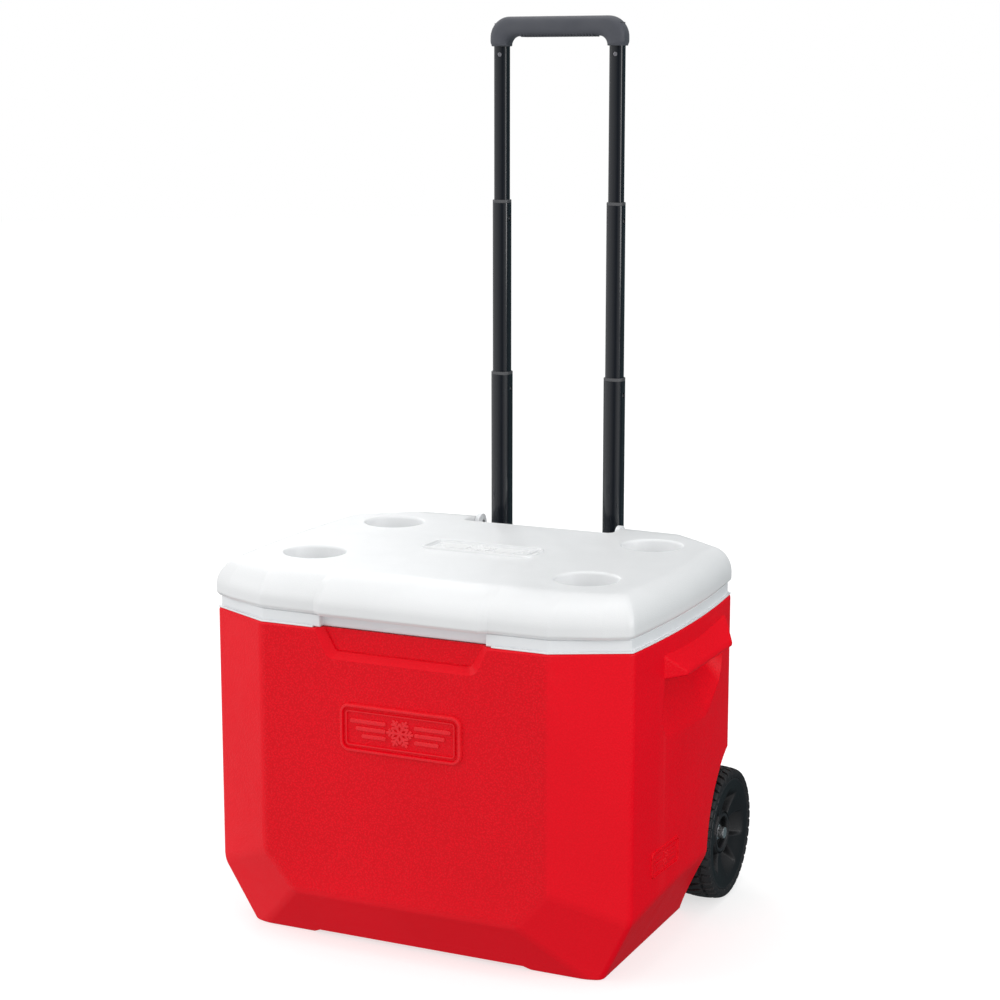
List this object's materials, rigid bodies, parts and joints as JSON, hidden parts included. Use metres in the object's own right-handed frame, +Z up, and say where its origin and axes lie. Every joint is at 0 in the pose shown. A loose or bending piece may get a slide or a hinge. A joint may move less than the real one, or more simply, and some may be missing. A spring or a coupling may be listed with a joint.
{
  "type": "wheeled cooler",
  "caption": "Wheeled hard-sided cooler with a hinged lid with cup holders, side grips, a drain and a telescopic pull handle.",
  "frame": {"origin": "on the floor, midway between the sides and midway front to back", "axes": "+X to the right seen from the front, -Y out of the front, +Z up"},
  "size_m": [0.572, 0.456, 1.064],
  "materials": {
    "shell_red": "satin with a fine pebble grain",
    "liner_white": "satin",
    "lid_white": "satin, lightly textured",
    "foam": "rigid foam, matte",
    "drain_white": "satin",
    "gasket_black": "matte",
    "bright_steel": "zinc plated",
    "dark_screws": "dark plated",
    "tyre_black": "matte moulded tread",
    "rim_black": "satin",
    "bush_nylon": "natural nylon",
    "bracket_black": "satin",
    "collar_grey": "satin",
    "tube_black": "gloss black enamel",
    "grip_charcoal": "soft matte"
  },
  "bodies": {
    "cooler": {"outer_shell": "shell_red", "body_foam": "foam", "liner": "liner_white", "drain_spout": "liner_white", "drain_gasket": "gasket_black", "drain_nut": "liner_white", "axle": "bright_steel", "axle_bush_left": "bush_nylon", "axle_bush_right": "bush_nylon", "washers_left": "bright_steel", "washers_right": "bright_steel", "push_nut_left": "bright_steel", "push_nut_right": "bright_steel", "handle_guide_left": "tube_black", "handle_guide_right": "tube_black", "guide_collar_left": "collar_grey", "guide_collar_right": "collar_grey", "handle_top_bracket": "bracket_black", "handle_bottom_bracket": "bracket_black", "bracket_screws": "bright_steel", "hinge_bracket_left": "liner_white", "hinge_bracket_right": "liner_white", "hinge_screws": "bright_steel", "hinge_pin_left": "bright_steel", "hinge_pin_right": "bright_steel"},
    "lid": {"lid_shell": "lid_white", "lid_underside": "lid_white", "lid_foam": "foam"},
    "stage1": {"stage1_tube_left": "tube_black", "stage1_tube_right": "tube_black", "stage1_collar_left": "collar_grey", "stage1_collar_right": "collar_grey", "stage1_foot_left": "collar_grey", "stage1_foot_right": "collar_grey", "stage1_detents": "bright_steel"},
    "stage2": {"stage2_tube_left": "tube_black", "stage2_tube_right": "tube_black", "stage2_collar_left": "collar_grey", "stage2_collar_right": "collar_grey", "stage2_foot_left": "collar_grey", "stage2_foot_right": "collar_grey", "stage2_detents": "bright_steel"},
    "grip": {"stage3_tube_left": "tube_black", "stage3_tube_right": "tube_black", "stage3_foot_left": "collar_grey", "stage3_foot_right": "collar_grey", "stage3_detents": "bright_steel", "grip_core": "bracket_black", "grip_cover": "grip_charcoal", "grip_screws": "dark_screws"},
    "wheel_left": {"tyre_left": "tyre_black", "rim_left": "rim_black", "wheel_bush_left": "bush_nylon"},
    "wheel_right": {"tyre_right": "tyre_black", "rim_right": "rim_black", "wheel_bush_right": "bush_nylon"},
    "drain_cap": {"drain_cap": "drain_white"}
  },
  "joints": [
    {"name": "lid_hinge", "type": "hinge", "parent": "cooler", "child": "lid", "pos_m": [0, 0.19, 0.43], "axis": [-1, 0, 0], "range_deg": [0, 87]},
    {"name": "stage1_slide", "type": "slide", "parent": "cooler", "child": "stage1", "axis": [0, 0, 1], "range_m": [-0.224, 0]},
    {"name": "stage2_slide", "type": "slide", "parent": "stage1", "child": "stage2", "axis": [0, 0, 1], "range_m": [-0.212, 0]},
    {"name": "grip_slide", "type": "slide", "parent": "stage2", "child": "grip", "axis": [0, 0, 1], "range_m": [-0.184, 0]},
    {"name": "wheel_left_spin", "type": "hinge", "parent": "cooler", "child": "wheel_left", "pos_m": [-0.239, 0.142, 0.081], "axis": [1, 0, 0], "continuous": true},
    {"name": "wheel_right_spin", "type": "hinge", "parent": "cooler", "child": "wheel_right", "pos_m": [0.239, 0.142, 0.081], "axis": [1, 0, 0], "continuous": true},
    {"name": "drain_cap_pull", "type": "slide", "parent": "cooler", "child": "drain_cap", "axis": [-1, 0, 0], "range_m": [0, 0.028]}
  ]
}
